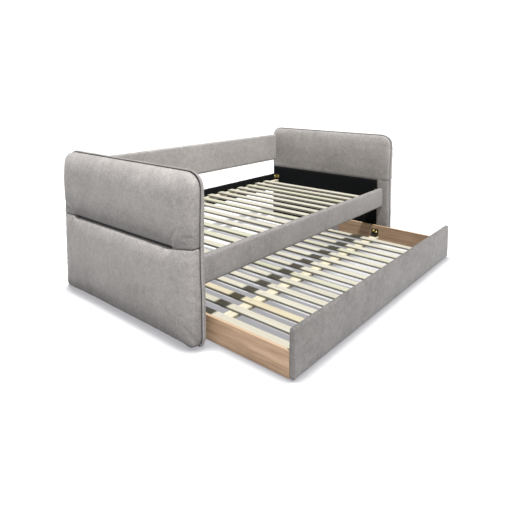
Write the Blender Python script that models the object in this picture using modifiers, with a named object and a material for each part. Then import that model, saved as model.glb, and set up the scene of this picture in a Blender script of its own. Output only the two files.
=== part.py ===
"""Upholstered day bed with a slatted trundle that rolls out from under it.

Metres, +Z up. X runs along the bed's length, the front faces -Y, and the trundle rolls out
towards -Y. The origin lies on the floor, at the centre of the footprint with the trundle part
way out, as it is built here.
"""

import math

import bmesh
import bpy
from mathutils import Vector

# ---- Driving dimensions ----
GAP = 0.0003  # left between faces that touch

# End arms: an upholstered panel, with two cushions stacked on its outer face
ARM_HEIGHT = 0.80
ARM_DEPTH = 1.105
ARM_THICKNESS = 0.09
INNER_LENGTH = 1.925  # between the arms
CUSHION_THICKNESS = 0.0585
CUSHION_ROUNDING = 0.01
PANEL_ROUNDING = 0.006
SEAM_HEIGHT = 0.455  # above the floor, between the two cushions
TOP_CORNER_RADIUS = 0.075
BOTTOM_CORNER_RADIUS = 0.03
SEAM_CORNER_RADIUS = 0.018
CORNER_SEGMENTS = 8
LINING_SETBACK = 0.083  # behind the arm's front
LINING_TOP = 0.474
LINING_THICKNESS = 0.006

# Glides under the arms
GLIDE_HEIGHT = 0.02
GLIDE_TOP_RADIUS = 0.014
GLIDE_FOOT_RADIUS = 0.011
GLIDE_INSET = 0.08  # from the arm's front and back
GLIDE_SIDES = 24

# Rails between the arms
RAIL_BOTTOM = 0.272
FRONT_RAIL_SETBACK = 0.034
FRONT_RAIL_THICKNESS = 0.035
FRONT_RAIL_TOP = 0.414
BACK_SETBACK = 0.003  # of both back rails, ahead of the arms' back
LOWER_BACK_RAIL_THICKNESS = 0.03
LOWER_BACK_RAIL_TOP = 0.405
BACK_RAIL_THICKNESS = 0.028
BACK_RAIL_BOTTOM = 0.534
BACK_RAIL_TOP = 0.765
RAIL_ROUNDING = 0.01
BOARD_ROUNDING = 0.002
LEDGE_SIZE = 0.03
LEDGE_END_PLAY = 0.002
LEDGE_GLUE_DEPTH = 0.006  # of the ledge, let into its rail

# Slats
SLAT_COUNT = 15
SLAT_WIDTH = 0.049
SLAT_THICKNESS = 0.013
SLAT_CHAMFER = 0.0015
SLAT_END_PLAY = 0.004
UPPER_SLAT_PITCH = 0.1135
UPPER_SLAT_TOP = 0.366
TRUNDLE_SLAT_PITCH = 0.113
TRUNDLE_SLAT_TOP = 0.055

# Trundle
PULLED_OUT = 0.478  # from the arms' front to the trundle's front
TRUNDLE_SIDE_GAP = 0.03  # between the trundle and each arm
TRUNDLE_DEPTH = 1.02
TRUNDLE_CLEARANCE = 0.007  # above the floor
FRONT_PANEL_TOP = 0.228
FRONT_PANEL_THICKNESS = 0.024
BOARD_TOP = 0.128
BOARD_THICKNESS = 0.016
BOARD_INSET = 0.001  # of the side boards, inside the covered front panel's ends
TRUNDLE_LEDGE_WIDTH = 0.025
TRUNDLE_LEDGE_BOTTOM = 0.012
BEAM_SETBACK = 0.543  # of the beam's centre line, behind the trundle's front
BEAM_WIDTH = 0.061
BEAM_THICKNESS = 0.019

# Casters: a wheel on a stub axle near each corner of the trundle
WHEEL_RADIUS = 0.02
WHEEL_WIDTH = 0.016
WHEEL_EDGE = 0.003
WHEEL_BORE_RADIUS = 0.0045
WHEEL_SIDE_PLAY = 0.001
AXLE_RADIUS = 0.004
AXLE_HEAD_RADIUS = 0.007
AXLE_HEAD_THICKNESS = 0.003
AXLE_ROOT = 0.002  # of the axle, inside its plate
TURNED_STEPS = 32
CASTER_INSET = 0.125  # from the trundle's front and back
PLATE_THICKNESS = 0.003
PLATE_WIDTH = 0.056
PLATE_BOTTOM = 0.012
PLATE_TOP = 0.05

# ---- Derived places ----
ARM_FRONT = (PULLED_OUT - ARM_DEPTH) / 2
ARM_BACK = ARM_FRONT + ARM_DEPTH
ARM_BOTTOM = GLIDE_HEIGHT
ARM_TOP = GLIDE_HEIGHT + ARM_HEIGHT
ARM_INNER = INNER_LENGTH / 2
ARM_OUTER = ARM_INNER + ARM_THICKNESS
CUSHION_INNER = ARM_OUTER - CUSHION_THICKNESS
FRONT_RAIL_FRONT = ARM_FRONT + FRONT_RAIL_SETBACK
FRONT_RAIL_BACK = FRONT_RAIL_FRONT + FRONT_RAIL_THICKNESS
BACK_RAIL_BACK = ARM_BACK - BACK_SETBACK
LOWER_BACK_RAIL_FRONT = BACK_RAIL_BACK - LOWER_BACK_RAIL_THICKNESS
UPPER_LEDGE_TOP = UPPER_SLAT_TOP - SLAT_THICKNESS - GAP
TRUNDLE_FRONT = ARM_FRONT - PULLED_OUT
TRUNDLE_BACK = TRUNDLE_FRONT + TRUNDLE_DEPTH
TRUNDLE_HALF = ARM_INNER - TRUNDLE_SIDE_GAP
FRONT_PANEL_BACK = TRUNDLE_FRONT + FRONT_PANEL_THICKNESS
BOARD_OUTER = TRUNDLE_HALF - BOARD_INSET
BOARD_INNER = BOARD_OUTER - BOARD_THICKNESS
BACK_BOARD_FRONT = TRUNDLE_BACK - BOARD_THICKNESS
TRUNDLE_LEDGE_TOP = TRUNDLE_SLAT_TOP - SLAT_THICKNESS - GAP
BEAM_CENTRE = TRUNDLE_FRONT + BEAM_SETBACK
PLATE_OUTER = BOARD_INNER - GAP
WHEEL_CENTRE = PLATE_OUTER - PLATE_THICKNESS - WHEEL_SIDE_PLAY - WHEEL_WIDTH / 2
SIDES = (("left", -1), ("right", 1))


# ---- Materials ----
def make_material(name, color, roughness, metallic=0.0):
    material = bpy.data.materials.new(name)
    material.use_nodes = True
    shader = material.node_tree.nodes["Principled BSDF"]
    shader.inputs["Base Color"].default_value = (*color, 1.0)
    shader.inputs["Roughness"].default_value = roughness
    shader.inputs["Metallic"].default_value = metallic
    return material


# ---- Shapes ----
def add_object(name, shape, collection, material, location):
    """An object made from a bmesh, which is then freed."""
    mesh = bpy.data.meshes.new(name)
    shape.to_mesh(mesh)
    shape.free()
    obj = bpy.data.objects.new(name, mesh)
    obj.location = location
    collection.objects.link(obj)
    if material:
        mesh.materials.append(material)
    return obj


def box_shape(low, high):
    """A box of the size between two corners, centred on its own origin."""
    shape = bmesh.new()
    bmesh.ops.create_cube(shape, size=1.0)
    bmesh.ops.scale(shape, vec=Vector(high) - Vector(low), verts=shape.verts)
    return shape


def centre(low, high):
    return (Vector(low) + Vector(high)) / 2


def lengthwise_edges(shape):
    """The edges that run along X."""
    return [
        edge
        for edge in shape.edges
        if (edge.verts[0].co - edge.verts[1].co).yz.length < GAP
    ]


def round_edges(shape, edges, radius):
    bmesh.ops.bevel(
        shape,
        geom=edges,
        offset=radius,
        segments=CORNER_SEGMENTS,
        affect="EDGES",
        profile=0.5,
    )


def add_bevel(obj, width, segments):
    bevel = obj.modifiers.new("rounded edges", "BEVEL")
    bevel.width = width
    bevel.segments = segments
    bevel.limit_method = "ANGLE"
    bevel.angle_limit = math.radians(40)


def add_box(name, low, high, collection, material, rounding, segments=1):
    obj = add_object(name, box_shape(low, high), collection, material, centre(low, high))
    add_bevel(obj, rounding, segments)
    return obj


def add_rail(name, low, high, collection, material):
    """A covered board whose long edges are rounded, and whose ends are flat."""
    shape = box_shape(low, high)
    round_edges(shape, lengthwise_edges(shape), RAIL_ROUNDING)
    return add_object(name, shape, collection, material, centre(low, high))


def add_end_plate(name, low, high, radii, rounding, collection, material):
    """An upright plate across the bed's end, its top and bottom corners rounded by radii."""
    shape = box_shape(low, high)
    top, bottom = radii
    corners = lengthwise_edges(shape)
    round_edges(shape, [edge for edge in corners if edge.verts[0].co.z > 0], top)
    corners = lengthwise_edges(shape)
    round_edges(shape, [edge for edge in corners if edge.verts[0].co.z < 0], bottom)
    obj = add_object(name, shape, collection, material, centre(low, high))
    add_bevel(obj, rounding, 3)
    return obj


def add_turned(name, profile, closed, collection, material, location, turn):
    """A solid turned about its local Z from (radius, height) points, listed from the top down."""
    shape = bmesh.new()
    verts = [shape.verts.new((radius, 0.0, height)) for radius, height in profile]
    for first, second in zip(verts, verts[1:]):
        shape.edges.new((first, second))
    if closed:
        shape.edges.new((verts[-1], verts[0]))
    obj = add_object(name, shape, collection, material, location)
    obj.rotation_euler.y = turn
    screw = obj.modifiers.new("turned", "SCREW")
    screw.steps = TURNED_STEPS
    screw.render_steps = TURNED_STEPS
    screw.use_merge_vertices = True
    screw.merge_threshold = 0.00001
    screw.use_smooth_shade = True
    return obj


def combine(obj, helper, operation):
    """Cuts a helper out of an object or joins it on, and keeps the helper out of the render."""
    helper.hide_render = True
    helper.display_type = "WIRE"
    boolean = obj.modifiers.new(helper.name, "BOOLEAN")
    boolean.operation = operation
    boolean.object = helper
    boolean.solver = "EXACT"


def mirrored(side, low, high):
    """A box's two corners, moved to the left end if side is -1."""
    if side > 0:
        return low, high
    return (-high[0], low[1], low[2]), (-low[0], high[1], high[2])


# ---- Arms ----
def add_arm_cushions(label, side, collection, material):
    cushions = (
        ("lower", ARM_BOTTOM, SEAM_HEIGHT - GAP, (SEAM_CORNER_RADIUS, BOTTOM_CORNER_RADIUS)),
        ("upper", SEAM_HEIGHT, ARM_TOP, (TOP_CORNER_RADIUS, SEAM_CORNER_RADIUS)),
    )
    for level, bottom, top, radii in cushions:
        low, high = mirrored(
            side, (CUSHION_INNER, ARM_FRONT, bottom), (ARM_OUTER, ARM_BACK, top)
        )
        name = f"arm_{label}_{level}_cushion"
        add_end_plate(name, low, high, radii, CUSHION_ROUNDING, collection, material)


def add_arm_panel(label, side, collection, cutters, material):
    """The arm's inner half, with a shallow recess that the lining lies in."""
    low, high = mirrored(
        side, (ARM_INNER, ARM_FRONT, ARM_BOTTOM), (CUSHION_INNER - GAP, ARM_BACK, ARM_TOP)
    )
    radii = (TOP_CORNER_RADIUS, BOTTOM_CORNER_RADIUS)
    name = f"arm_{label}_panel"
    panel = add_end_plate(name, low, high, radii, PANEL_ROUNDING, collection, material)

    past = 0.02
    low, high = mirrored(
        side,
        (ARM_INNER - past, ARM_FRONT + LINING_SETBACK, ARM_BOTTOM - past),
        (ARM_INNER + LINING_THICKNESS + GAP, ARM_BACK + past, LINING_TOP),
    )
    recess = add_object(
        f"arm_{label}_recess_cutter", box_shape(low, high), cutters, None, centre(low, high)
    )
    combine(panel, recess, "DIFFERENCE")


def add_arm_lining(label, side, collection, material):
    """The lining reaches down and back to where the panel's own edges begin to round."""
    low, high = mirrored(
        side,
        (
            ARM_INNER,
            ARM_FRONT + LINING_SETBACK + GAP,
            ARM_BOTTOM + PANEL_ROUNDING,
        ),
        (ARM_INNER + LINING_THICKNESS, ARM_BACK - PANEL_ROUNDING, LINING_TOP - GAP),
    )
    add_box(f"arm_{label}_lining", low, high, collection, material, 0.0015)


def add_arm_glides(label, side, collection, material):
    across = side * (ARM_INNER + ARM_OUTER) / 2
    height = GLIDE_HEIGHT - GAP
    places = (("front", ARM_FRONT + GLIDE_INSET), ("back", ARM_BACK - GLIDE_INSET))
    for end, along in places:
        shape = bmesh.new()
        bmesh.ops.create_cone(
            shape,
            cap_ends=True,
            segments=GLIDE_SIDES,
            radius1=GLIDE_FOOT_RADIUS,
            radius2=GLIDE_TOP_RADIUS,
            depth=height,
        )
        location = (across, along, height / 2)
        add_object(f"arm_{label}_{end}_glide", shape, collection, material, location)


# ---- Rails ----
def add_ledge(rail, low, high, cutters):
    """A square ledge glued along a rail, so that the two are one piece."""
    ledge = add_object(f"{rail.name}_ledge", box_shape(low, high), cutters, None, centre(low, high))
    combine(rail, ledge, "UNION")


def add_rails(collection, cutters, fabric, black):
    end = ARM_INNER - GAP
    ledge_end = end - LEDGE_END_PLAY
    ledge_bottom = UPPER_LEDGE_TOP - LEDGE_SIZE

    front = add_rail(
        "front_rail",
        (-end, FRONT_RAIL_FRONT, RAIL_BOTTOM),
        (end, FRONT_RAIL_BACK, FRONT_RAIL_TOP),
        collection,
        fabric,
    )
    add_ledge(
        front,
        (-ledge_end, FRONT_RAIL_BACK - LEDGE_GLUE_DEPTH, ledge_bottom),
        (ledge_end, FRONT_RAIL_BACK + LEDGE_SIZE, UPPER_LEDGE_TOP),
        cutters,
    )

    lower_back = add_box(
        "lower_back_rail",
        (-end, LOWER_BACK_RAIL_FRONT, RAIL_BOTTOM),
        (end, BACK_RAIL_BACK, LOWER_BACK_RAIL_TOP),
        collection,
        black,
        BOARD_ROUNDING,
    )
    add_ledge(
        lower_back,
        (-ledge_end, LOWER_BACK_RAIL_FRONT - LEDGE_SIZE, ledge_bottom),
        (ledge_end, LOWER_BACK_RAIL_FRONT + LEDGE_GLUE_DEPTH, UPPER_LEDGE_TOP),
        cutters,
    )

    add_rail(
        "back_rail",
        (-end, BACK_RAIL_BACK - BACK_RAIL_THICKNESS, BACK_RAIL_BOTTOM),
        (end, BACK_RAIL_BACK, BACK_RAIL_TOP),
        collection,
        fabric,
    )


# ---- Slats ----
def add_slats(deck, pitch, front, back, top, collection, material):
    """A row of slats, each running from the front to the back on its own."""
    for number in range(SLAT_COUNT):
        middle = (number - (SLAT_COUNT - 1) / 2) * pitch
        add_box(
            f"{deck}_slat_{number + 1:02d}",
            (middle - SLAT_WIDTH / 2, front + SLAT_END_PLAY, top - SLAT_THICKNESS),
            (middle + SLAT_WIDTH / 2, back - SLAT_END_PLAY, top),
            collection,
            material,
            SLAT_CHAMFER,
        )


# ---- Trundle ----
def add_trundle_boards(collection, fabric, laminate):
    add_box(
        "trundle_front_panel",
        (-TRUNDLE_HALF, TRUNDLE_FRONT, TRUNDLE_CLEARANCE),
        (TRUNDLE_HALF, FRONT_PANEL_BACK, FRONT_PANEL_TOP),
        collection,
        fabric,
        RAIL_ROUNDING,
        segments=4,
    )
    for label, side in SIDES:
        low, high = mirrored(
            side,
            (BOARD_INNER, FRONT_PANEL_BACK + GAP, TRUNDLE_CLEARANCE),
            (BOARD_OUTER, TRUNDLE_BACK, BOARD_TOP),
        )
        add_box(f"trundle_{label}_board", low, high, collection, laminate, BOARD_ROUNDING / 2)
    add_box(
        "trundle_back_board",
        (-BOARD_INNER + GAP, BACK_BOARD_FRONT, TRUNDLE_CLEARANCE),
        (BOARD_INNER - GAP, TRUNDLE_BACK, BOARD_TOP),
        collection,
        laminate,
        BOARD_ROUNDING / 2,
    )


def add_trundle_supports(collection, material):
    """The ledges that the slats' ends rest on, and the beam under their middles."""
    end = BOARD_INNER - GAP
    beam_front = BEAM_CENTRE - BEAM_WIDTH / 2
    supports = (
        ("trundle_front_ledge", FRONT_PANEL_BACK + GAP, TRUNDLE_LEDGE_WIDTH, TRUNDLE_LEDGE_BOTTOM),
        (
            "trundle_back_ledge",
            BACK_BOARD_FRONT - GAP - TRUNDLE_LEDGE_WIDTH,
            TRUNDLE_LEDGE_WIDTH,
            TRUNDLE_LEDGE_BOTTOM,
        ),
        ("trundle_beam", beam_front, BEAM_WIDTH, TRUNDLE_LEDGE_TOP - BEAM_THICKNESS),
    )
    for name, front, width, bottom in supports:
        low = (-end, front, bottom)
        high = (end, front + width, TRUNDLE_LEDGE_TOP)
        add_box(name, low, high, collection, material, SLAT_CHAMFER)


def add_caster_bracket(name, side, along, collection, cutters, material):
    """A plate flat against the side board, with a headed stub axle pointing inwards."""
    low, high = mirrored(
        side,
        (PLATE_OUTER - PLATE_THICKNESS, along - PLATE_WIDTH / 2, PLATE_BOTTOM),
        (PLATE_OUTER, along + PLATE_WIDTH / 2, PLATE_TOP),
    )
    plate = add_box(f"{name}_bracket", low, high, collection, material, SLAT_CHAMFER / 3)

    # Heights along the axle are from the wheel's centre, and grow towards the head.
    root = -(WHEEL_WIDTH / 2 + WHEEL_SIDE_PLAY + AXLE_ROOT)
    head = WHEEL_WIDTH / 2 + WHEEL_SIDE_PLAY
    profile = (
        (0.0, head + AXLE_HEAD_THICKNESS),
        (AXLE_HEAD_RADIUS, head + AXLE_HEAD_THICKNESS),
        (AXLE_HEAD_RADIUS, head),
        (AXLE_RADIUS, head),
        (AXLE_RADIUS, root),
        (0.0, root),
    )
    place = (side * WHEEL_CENTRE, along, WHEEL_RADIUS)
    turn = -side * math.pi / 2
    axle = add_turned(f"{name}_axle", profile, False, cutters, None, place, turn)
    combine(plate, axle, "UNION")


def add_caster_wheel(name, side, along, collection, material):
    """A wheel whose origin is on its axle's axis."""
    half = WHEEL_WIDTH / 2
    profile = (
        (WHEEL_BORE_RADIUS, half),
        (WHEEL_RADIUS - WHEEL_EDGE, half),
        (WHEEL_RADIUS, half - WHEEL_EDGE),
        (WHEEL_RADIUS, WHEEL_EDGE - half),
        (WHEEL_RADIUS - WHEEL_EDGE, -half),
        (WHEEL_BORE_RADIUS, -half),
    )
    place = (side * WHEEL_CENTRE, along, WHEEL_RADIUS)
    add_turned(f"{name}_wheel", profile, True, collection, material, place, math.pi / 2)


def add_casters(collection, cutters, steel, nylon):
    places = (("front", TRUNDLE_FRONT + CASTER_INSET), ("back", TRUNDLE_BACK - CASTER_INSET))
    for label, side in SIDES:
        for end, along in places:
            name = f"caster_{label}_{end}"
            add_caster_bracket(name, side, along, collection, cutters, steel)
            add_caster_wheel(name, side, along, collection, nylon)


# ---- The whole bed ----
def add_collection(name):
    collection = bpy.data.collections.new(name)
    bpy.context.scene.collection.children.link(collection)
    return collection


def main():
    for obj in list(bpy.data.objects):
        bpy.data.objects.remove(obj, do_unlink=True)
    bed = add_collection("trundle_bed")
    cutters = add_collection("cutters")

    fabric = make_material("fabric", (0.37, 0.345, 0.315), 0.9)
    black = make_material("black_lining", (0.004, 0.004, 0.005), 0.95)
    slat_wood = make_material("slat_wood", (0.80, 0.75, 0.60), 0.6)
    laminate = make_material("oak_laminate", (0.42, 0.28, 0.17), 0.5)
    plastic = make_material("glide_plastic", (0.01, 0.01, 0.01), 0.5)
    steel = make_material("bracket_steel", (0.55, 0.55, 0.56), 0.35, 1.0)
    nylon = make_material("wheel_nylon", (0.02, 0.02, 0.02), 0.4)

    for label, side in SIDES:
        add_arm_cushions(label, side, bed, fabric)
        add_arm_panel(label, side, bed, cutters, fabric)
        add_arm_lining(label, side, bed, black)
        add_arm_glides(label, side, bed, plastic)
    add_rails(bed, cutters, fabric, black)
    add_slats(
        "upper",
        UPPER_SLAT_PITCH,
        FRONT_RAIL_BACK,
        LOWER_BACK_RAIL_FRONT,
        UPPER_SLAT_TOP,
        bed,
        slat_wood,
    )

    add_trundle_boards(bed, fabric, laminate)
    add_trundle_supports(bed, slat_wood)
    add_slats(
        "trundle",
        TRUNDLE_SLAT_PITCH,
        FRONT_PANEL_BACK,
        BACK_BOARD_FRONT,
        TRUNDLE_SLAT_TOP,
        bed,
        slat_wood,
    )
    add_casters(bed, cutters, steel, nylon)


main()
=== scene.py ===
"""The looks of an upholstered day bed with a pull-out trundle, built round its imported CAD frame.

Metres, +Z up, in the CAD's own frame: X along the bed's length, the front faces -Y. The arms' outer
cushions are swelled by cloth simulation, and the other padded pieces are shaped by formula. Every
material is procedural, on object coordinates, so that it moves with its piece.
"""

import math

import bmesh
import bpy
import numpy as np
from mathutils import Matrix, Vector, noise


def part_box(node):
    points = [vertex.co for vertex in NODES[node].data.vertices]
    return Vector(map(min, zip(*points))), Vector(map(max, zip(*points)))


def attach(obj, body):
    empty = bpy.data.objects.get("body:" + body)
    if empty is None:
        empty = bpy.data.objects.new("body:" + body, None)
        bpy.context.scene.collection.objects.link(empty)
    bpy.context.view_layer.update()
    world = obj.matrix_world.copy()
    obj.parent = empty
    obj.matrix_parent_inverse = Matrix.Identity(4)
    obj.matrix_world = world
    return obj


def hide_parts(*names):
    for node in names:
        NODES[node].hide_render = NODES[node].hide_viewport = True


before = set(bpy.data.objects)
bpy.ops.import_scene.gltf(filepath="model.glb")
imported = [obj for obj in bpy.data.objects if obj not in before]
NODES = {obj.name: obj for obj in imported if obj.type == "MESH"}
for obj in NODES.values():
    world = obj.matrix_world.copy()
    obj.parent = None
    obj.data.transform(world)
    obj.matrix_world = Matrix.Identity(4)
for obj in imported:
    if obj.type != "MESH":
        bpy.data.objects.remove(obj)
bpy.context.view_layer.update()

SIDES = (("left", -1), ("right", 1))
CORNERS = [(label, end) for label, _ in SIDES for end in ("front", "back")]
SLAT_NUMBERS = range(1, 16)


# ---- camera, floor and light
CAMERA_FROM_ARM = Vector((-1.380, -1.538, 1.189))  # from the near arm's outer bottom front corner
CAMERA_AZIMUTH = math.radians(49.99)  # of the view, from +Y towards +X
CAMERA_PITCH = math.radians(5.42)  # downwards
CAMERA_LENS = 33.45
CAMERA_SHIFT_Y = -0.246

SUN_FROM_LEFT = math.radians(12)  # tilt of the key light towards -X
SUN_FROM_FRONT = math.radians(20)  # and towards -Y
SUN_SPREAD = math.radians(4)
SUN_DISTANCE = 6.0
KEY_STRENGTH = 4.9

HORIZON_TOP = math.radians(13)  # above the horizon, up to which the room is bright
OVERHEAD_START = math.radians(32)  # from which it is dim
HORIZON_STRENGTH = 1.05
OVERHEAD_STRENGTH = 0.16

FLOOR_SIZE = 30.0
CONTACT_REACH = 0.09  # of the floor's shade, from the things that stand on it


def place_object(name, data):
    """An object of that name in the scene."""
    obj = bpy.data.objects.new(name, data)
    bpy.context.scene.collection.objects.link(obj)
    return obj


def aim(obj, direction):
    """Points a camera or a lamp in a direction."""
    obj.rotation_mode = "QUATERNION"
    obj.rotation_quaternion = Vector(direction).to_track_quat("-Z", "Y")


def add_camera():
    arm_low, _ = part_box("arm_left_lower_cushion")
    data = bpy.data.cameras.new("camera")
    data.lens = CAMERA_LENS
    data.shift_y = CAMERA_SHIFT_Y
    camera = place_object("camera", data)
    camera.location = arm_low + CAMERA_FROM_ARM
    level = math.cos(CAMERA_PITCH)
    forward = (math.sin(CAMERA_AZIMUTH) * level, math.cos(CAMERA_AZIMUTH) * level, -math.sin(CAMERA_PITCH))
    aim(camera, forward)
    bpy.context.scene.camera = camera


def add_floor():
    shape = bmesh.new()
    bmesh.ops.create_grid(shape, x_segments=4, y_segments=4, size=FLOOR_SIZE)
    floor = add_mesh("studio_floor", shape, [floor_material()])


def add_key_light():
    """A small high lamp over the viewer's left shoulder, which throws crisp shadows."""
    data = bpy.data.lights.new("key", "SUN")
    data.energy = KEY_STRENGTH
    data.angle = SUN_SPREAD
    lamp = place_object("key", data)
    towards = Vector((-math.tan(SUN_FROM_LEFT), -math.tan(SUN_FROM_FRONT), 1.0))
    lamp.location = towards.normalized() * SUN_DISTANCE
    aim(lamp, -towards)


def add_room_light():
    """A white room, brighter round its walls than overhead."""
    world = bpy.data.worlds.new("studio")
    world.use_nodes = True
    tree = world.node_tree
    place = tree.nodes.new("ShaderNodeTexCoord")
    split = tree.nodes.new("ShaderNodeSeparateXYZ")
    fade = tree.nodes.new("ShaderNodeMapRange")
    heights = {"From Min": math.sin(HORIZON_TOP), "From Max": math.sin(OVERHEAD_START)}
    strengths = {"To Min": HORIZON_STRENGTH, "To Max": OVERHEAD_STRENGTH}
    for name, value in {**heights, **strengths}.items():
        fade.inputs[name].default_value = value
    tree.links.new(place.outputs["Generated"], split.inputs["Vector"])
    tree.links.new(split.outputs["Z"], fade.inputs["Value"])
    tree.links.new(fade.outputs["Result"], tree.nodes["Background"].inputs["Strength"])
    tree.nodes["Background"].inputs["Color"].default_value = (1.0, 1.0, 1.0, 1.0)
    bpy.context.scene.world = world


def add_lighting():
    add_key_light()
    add_room_light()
    view = bpy.context.scene.view_settings
    view.view_transform = "Standard"
    view.look = "None"


# ---- node helpers
class Nodes:
    """Adds shader nodes to a new material and links them, one call each."""

    def __init__(self, name):
        self.material = bpy.data.materials.new(name)
        self.material.use_nodes = True
        self.tree = self.material.node_tree
        self.shader = self.tree.nodes["Principled BSDF"]
        self.place = self.add("ShaderNodeTexCoord").outputs["Object"]

    def add(self, kind, **settings):
        node = self.tree.nodes.new(kind)
        for key, value in settings.items():
            setattr(node, key, value)
        return node

    def link(self, output, target):
        self.tree.links.new(output, target)

    def put(self, value, socket):
        """Gives a socket a value: a number or a colour is set, an output is linked."""
        if isinstance(value, bpy.types.NodeSocket):
            self.link(value, socket)
        else:
            socket.default_value = value

    def fill(self, node, **values):
        """Gives a node's inputs their values, by name."""
        for name, value in values.items():
            self.put(value, node.inputs[name.replace("_", " ")])

    def stretched(self, scale, turn=(0, 0, 0)):
        mapping = self.add("ShaderNodeMapping")
        self.fill(mapping, Scale=scale, Rotation=turn, Vector=self.place)
        return mapping.outputs["Vector"]

    def noise(self, scale, detail=2.0, roughness=0.5, vector=None, distortion=0.0):
        node = self.add("ShaderNodeTexNoise")
        self.fill(node, Vector=vector or self.place, Scale=scale, Detail=detail)
        self.fill(node, Roughness=roughness, Distortion=distortion)
        return node.outputs["Fac"]

    def ramp(self, value, *stops):
        """A colour ramp through (position, colour) stops; a colour is a number or three."""
        node = self.add("ShaderNodeValToRGB")
        elements = node.color_ramp.elements
        while len(elements) < len(stops):
            elements.new(0.5)
        for element, (position, colour) in zip(elements, stops):
            element.position = position
            if isinstance(colour, (int, float)):
                colour = (colour, colour, colour)
            element.color = (*colour, 1.0)
        self.link(value, node.inputs["Fac"])
        return node.outputs["Color"]

    def darkened(self, colour, shade, share=1.0):
        """Multiplies a colour by a shade, as far as the share says."""
        node = self.add("ShaderNodeMix", data_type="RGBA", blend_type="MULTIPLY")
        for index, value in ((0, share), (6, colour), (7, shade)):
            self.put(value, node.inputs[index])
        return node.outputs[2]

    def math(self, operation, first, second=0.0):
        node = self.add("ShaderNodeMath", operation=operation)
        self.put(first, node.inputs[0])
        self.put(second, node.inputs[1])
        return node.outputs[0]

    def shaded(self, colour, side, below):
        """Painted shade: darkens a colour on upright faces by one factor and underneath by another."""
        up = self.add("ShaderNodeSeparateXYZ")
        self.link(self.add("ShaderNodeNewGeometry").outputs["Normal"], up.inputs["Vector"])
        facing = self.math("ADD", self.math("MULTIPLY", up.outputs["Z"], 0.5), 0.5)
        shade = self.ramp(facing, (0.0, below), (0.5, side), (1.0, 1.0))
        return self.darkened(colour, shade)

    def handled(self, scale, colour, dark, roughness, spread):
        """A colour and a roughness that both vary a little, as if from handling."""
        marks = self.noise(scale, 3.0, 0.5)
        tone = self.ramp(marks, (0.3, tuple(dark * c for c in colour)), (0.7, colour))
        rough = self.math("ADD", roughness, self.math("MULTIPLY", marks, spread))
        return {"Base_Color": tone, "Roughness": rough}

    def bump(self, *layers):
        """Stacked bumps, each (height, strength, distance)."""
        normal = None
        for height, strength, distance in layers:
            node = self.add("ShaderNodeBump")
            self.fill(node, Height=height, Strength=strength, Distance=distance)
            if normal:
                self.link(normal, node.inputs["Normal"])
            normal = node.outputs["Normal"]
        self.link(normal, self.shader.inputs["Normal"])

    def finish(self, **values):
        """Sets the shader's own inputs by name and returns the material."""
        self.fill(self.shader, **values)
        return self.material


# ---- materials
def fabric_material(name, light, dark, tone_and_painted_light=1.0, shaded_by=None):
    """Suede-like upholstery: cloudy nap marks over a fine close weave.

    A factor for each copy scales its colour, partly as painted light and shade. The colour is also painted
    darker on upright faces, more so underneath, and darker towards the floor, as painted shade. shaded_by
    names a piece's own attribute, which holds more painted shade and highlight.
    """
    n = Nodes(name)
    clouds = n.noise(6.0, 3.0, 0.55)
    marks = n.noise(30.0, 6.0, 0.68, distortion=0.8)
    strokes = n.noise(1.0, 3.0, 0.6, vector=n.stretched((75.0, 75.0, 48.0), (0.35, 0.2, 0.0)))
    weave = n.noise(850.0, 1.0, 0.5)
    specks = n.noise(150.0, 3.0, 0.7)
    nap = n.math("ADD", n.math("MULTIPLY", clouds, 0.30), n.math("MULTIPLY", marks, 0.50))
    nap = n.math("ADD", nap, n.math("MULTIPLY", strokes, 0.20))
    # The factor scales the whole colour, partly as painted light and shade.
    dark = tuple(channel * tone_and_painted_light for channel in dark)
    light = tuple(channel * tone_and_painted_light for channel in light)
    colour = n.ramp(nap, (0.36, dark), (0.63, light))
    colour = n.darkened(colour, n.ramp(specks, (0.34, 0.64), (0.62, 1.04)), 0.7)
    colour = n.darkened(colour, n.ramp(weave, (0.35, 0.35), (0.65, 1.0)), 0.12)
    # Painted shade: the colour is darker towards the floor.
    height = n.add("ShaderNodeSeparateXYZ")
    n.link(n.place, height.inputs["Vector"])
    colour = n.darkened(colour, n.ramp(height.outputs["Z"], (0.0, 0.86), (0.55, 1.0)))
    # Painted shade on upright faces, and more underneath.
    colour = n.shaded(colour, 0.88, 0.42)
    # Multiplies in the piece's own painted shade and highlight.
    if shaded_by:
        shade = n.add("ShaderNodeAttribute")
        shade.attribute_name = shaded_by
        colour = n.darkened(colour, shade.outputs["Color"])
    roughness = n.math("ADD", 0.78, n.math("MULTIPLY", marks, 0.2))
    n.bump((marks, 0.35, 0.0020), (specks, 0.3, 0.0008), (weave, 0.3, 0.0004))
    sheen = {"Sheen_Weight": 0.2, "Sheen_Roughness": 0.5}
    return n.finish(Base_Color=colour, Roughness=roughness, Specular_IOR_Level=0.2, **sheen)


def lining_material():
    """Black non-woven cloth: a fine random web of fibres."""
    n = Nodes("black_lining")
    web = n.noise(260.0, 4.0, 0.7)
    patches = n.noise(12.0, 2.0, 0.5)
    colour = n.ramp(web, (0.3, (0.0022, 0.0026, 0.0032)), (0.75, (0.006, 0.007, 0.008)))
    colour = n.darkened(colour, n.ramp(patches, (0.3, 0.6), (0.7, 1.0)), 0.5)
    n.bump((web, 0.4, 0.0006))
    return n.finish(Base_Color=colour, Roughness=0.92, Specular_IOR_Level=0.15)


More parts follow.
